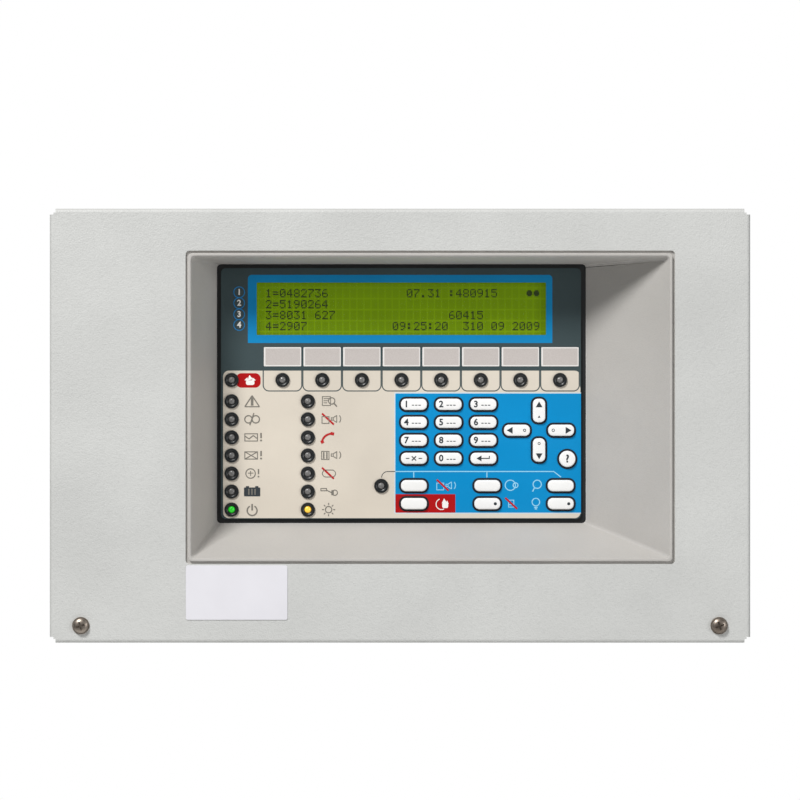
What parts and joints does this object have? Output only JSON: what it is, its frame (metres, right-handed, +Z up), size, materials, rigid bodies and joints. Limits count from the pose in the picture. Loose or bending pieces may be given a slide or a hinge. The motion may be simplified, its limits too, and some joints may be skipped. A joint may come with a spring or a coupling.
{
  "type": "fire alarm control panel",
  "caption": "Wall-mounted fire alarm control panel: steel box with a top-hung cover, recessed display, indicators and keypad, batteries and boards inside.",
  "frame": {"origin": "centre of the wall face of the back box", "axes": "+Y into the wall, +Z up, +X to the right seen from the front; the front faces -Y"},
  "size_m": [0.355, 0.128, 0.2205],
  "materials": {
    "cover_paint": "fine textured powder coat, light grey",
    "box_paint": "fine textured powder coat, light grey",
    "bezel_plastic": "moulded, light spark-eroded texture, light warm grey",
    "label_stock": "plain adhesive label, satin",
    "zinc_steel": "bright zinc plate",
    "screw_steel": "plain steel, slightly browned",
    "brass": "turned",
    "overlay": "printed satin overlay: slate, beige, blue and red",
    "clear_acrylic": "clear window",
    "lcd_cell": "yellow-green reflective liquid crystal cell",
    "black_steel": "black painted pressed frame",
    "label_paper": "warm white card",
    "black_plastic": "moulded",
    "ring_black": "moulded black ring",
    "lens_grey": "unlit diffusing lens",
    "lens_green": "lit green lens",
    "lens_yellow": "lit yellow lens",
    "key_white": "satin white cap",
    "silicone": "dark silicone",
    "board_green": "solder mask over copper tracks",
    "part_mix": "board-mounted parts",
    "terminal_green": "moulded terminal block",
    "battery_case": "moulded battery case",
    "psu_metal": "pressed sheet",
    "rubber_grey": "blanking grommet",
    "wire_red": "insulated lead",
    "wire_black": "insulated lead",
    "ribbon_grey": "flat ribbed cable"
  },
  "bodies": {
    "box": {"back_box": "box_paint", "box_side_left": "box_paint", "box_side_right": "box_paint", "hinge_box_leaves": "zinc_steel", "hinge_pins": "zinc_steel", "cable_grommets": "rubber_grey", "main_board": "board_green", "board_standoffs": "brass", "board_screws": "zinc_steel", "board_parts": "part_mix", "terminal_blocks": "terminal_green", "power_supply": "part_mix", "psu_cover": "psu_metal", "mains_terminal": "black_plastic", "battery_left": "battery_case", "battery_right": "battery_case", "battery_strap": "zinc_steel", "earth_stud": "brass", "battery_lead_red": "wire_red", "battery_lead_black": "wire_black", "battery_link": "wire_black", "ribbon_cable": "ribbon_grey"},
    "cover": {"front_cover": "cover_paint", "hinge_cover_leaves": "zinc_steel", "recess_bezel": "bezel_plastic", "bezel_nuts": "zinc_steel", "name_label": "label_stock", "cover_screws": "screw_steel", "fascia_panel": "overlay", "lcd_window": "clear_acrylic", "lcd_glass": "lcd_cell", "lcd_module": "black_steel", "zone_labels": "label_paper", "led_bezels": "ring_black", "led_lenses": "lens_grey", "keypad_mat": "silicone", "display_board": "board_green", "display_chassis": "black_plastic", "chassis_screws": "zinc_steel"},
    "key_1": {"key_1": "key_white"},
    "key_2": {"key_2": "key_white"},
    "key_3": {"key_3": "key_white"},
    "key_4": {"key_4": "key_white"},
    "key_5": {"key_5": "key_white"},
    "key_6": {"key_6": "key_white"},
    "key_7": {"key_7": "key_white"},
    "key_8": {"key_8": "key_white"},
    "key_9": {"key_9": "key_white"},
    "key_escape": {"key_escape": "key_white"},
    "key_0": {"key_0": "key_white"},
    "key_enter": {"key_enter": "key_white"},
    "key_up": {"key_up": "key_white"},
    "key_down": {"key_down": "key_white"},
    "key_left": {"key_left": "key_white"},
    "key_right": {"key_right": "key_white"},
    "key_help": {"key_help": "key_white"},
    "key_silence": {"key_silence": "key_white"},
    "key_evacuate": {"key_evacuate": "key_white"},
    "key_reset": {"key_reset": "key_white"},
    "key_disable": {"key_disable": "key_white"},
    "key_search": {"key_search": "key_white"},
    "key_lamp_test": {"key_lamp_test": "key_white"}
  },
  "joints": [
    {"name": "cover_swing", "type": "hinge", "parent": "box", "child": "cover", "pos_m": [0, -0.1065, 0.1083], "axis": [-1, 0, 0], "range_deg": [0, 110], "deforming": ["ribbon_cable"]},
    {"name": "key_1_press", "type": "slide", "parent": "cover", "child": "key_1", "axis": [0, 1, 0], "range_m": [0, 0.0008], "stiffness_N_per_m": 1500, "springref_m": -0.0002},
    {"name": "key_2_press", "type": "slide", "parent": "cover", "child": "key_2", "axis": [0, 1, 0], "range_m": [0, 0.0008], "stiffness_N_per_m": 1500, "springref_m": -0.0002},
    {"name": "key_3_press", "type": "slide", "parent": "cover", "child": "key_3", "axis": [0, 1, 0], "range_m": [0, 0.0008], "stiffness_N_per_m": 1500, "springref_m": -0.0002},
    {"name": "key_4_press", "type": "slide", "parent": "cover", "child": "key_4", "axis": [0, 1, 0], "range_m": [0, 0.0008], "stiffness_N_per_m": 1500, "springref_m": -0.0002},
    {"name": "key_5_press", "type": "slide", "parent": "cover", "child": "key_5", "axis": [0, 1, 0], "range_m": [0, 0.0008], "stiffness_N_per_m": 1500, "springref_m": -0.0002},
    {"name": "key_6_press", "type": "slide", "parent": "cover", "child": "key_6", "axis": [0, 1, 0], "range_m": [0, 0.0008], "stiffness_N_per_m": 1500, "springref_m": -0.0002},
    {"name": "key_7_press", "type": "slide", "parent": "cover", "child": "key_7", "axis": [0, 1, 0], "range_m": [0, 0.0008], "stiffness_N_per_m": 1500, "springref_m": -0.0002},
    {"name": "key_8_press", "type": "slide", "parent": "cover", "child": "key_8", "axis": [0, 1, 0], "range_m": [0, 0.0008], "stiffness_N_per_m": 1500, "springref_m": -0.0002},
    {"name": "key_9_press", "type": "slide", "parent": "cover", "child": "key_9", "axis": [0, 1, 0], "range_m": [0, 0.0008], "stiffness_N_per_m": 1500, "springref_m": -0.0002},
    {"name": "key_escape_press", "type": "slide", "parent": "cover", "child": "key_escape", "axis": [0, 1, 0], "range_m": [0, 0.0008], "stiffness_N_per_m": 1500, "springref_m": -0.0002},
    {"name": "key_0_press", "type": "slide", "parent": "cover", "child": "key_0", "axis": [0, 1, 0], "range_m": [0, 0.0008], "stiffness_N_per_m": 1500, "springref_m": -0.0002},
    {"name": "key_enter_press", "type": "slide", "parent": "cover", "child": "key_enter", "axis": [0, 1, 0], "range_m": [0, 0.0008], "stiffness_N_per_m": 1500, "springref_m": -0.0002},
    {"name": "key_up_press", "type": "slide", "parent": "cover", "child": "key_up", "axis": [0, 1, 0], "range_m": [0, 0.0008], "stiffness_N_per_m": 1500, "springref_m": -0.0002},
    {"name": "key_down_press", "type": "slide", "parent": "cover", "child": "key_down", "axis": [0, 1, 0], "range_m": [0, 0.0008], "stiffness_N_per_m": 1500, "springref_m": -0.0002},
    {"name": "key_left_press", "type": "slide", "parent": "cover", "child": "key_left", "axis": [0, 1, 0], "range_m": [0, 0.0008], "stiffness_N_per_m": 1500, "springref_m": -0.0002},
    {"name": "key_right_press", "type": "slide", "parent": "cover", "child": "key_right", "axis": [0, 1, 0], "range_m": [0, 0.0008], "stiffness_N_per_m": 1500, "springref_m": -0.0002},
    {"name": "key_help_press", "type": "slide", "parent": "cover", "child": "key_help", "axis": [0, 1, 0], "range_m": [0, 0.0008], "stiffness_N_per_m": 1500, "springref_m": -0.0002},
    {"name": "key_silence_press", "type": "slide", "parent": "cover", "child": "key_silence", "axis": [0, 1, 0], "range_m": [0, 0.0008], "stiffness_N_per_m": 1500, "springref_m": -0.0002},
    {"name": "key_evacuate_press", "type": "slide", "parent": "cover", "child": "key_evacuate", "axis": [0, 1, 0], "range_m": [0, 0.0008], "stiffness_N_per_m": 1500, "springref_m": -0.0002},
    {"name": "key_reset_press", "type": "slide", "parent": "cover", "child": "key_reset", "axis": [0, 1, 0], "range_m": [0, 0.0008], "stiffness_N_per_m": 1500, "springref_m": -0.0002},
    {"name": "key_disable_press", "type": "slide", "parent": "cover", "child": "key_disable", "axis": [0, 1, 0], "range_m": [0, 0.0008], "stiffness_N_per_m": 1500, "springref_m": -0.0002},
    {"name": "key_search_press", "type": "slide", "parent": "cover", "child": "key_search", "axis": [0, 1, 0], "range_m": [0, 0.0008], "stiffness_N_per_m": 1500, "springref_m": -0.0002},
    {"name": "key_lamp_test_press", "type": "slide", "parent": "cover", "child": "key_lamp_test", "axis": [0, 1, 0], "range_m": [0, 0.0008], "stiffness_N_per_m": 1500, "springref_m": -0.0002}
  ]
}
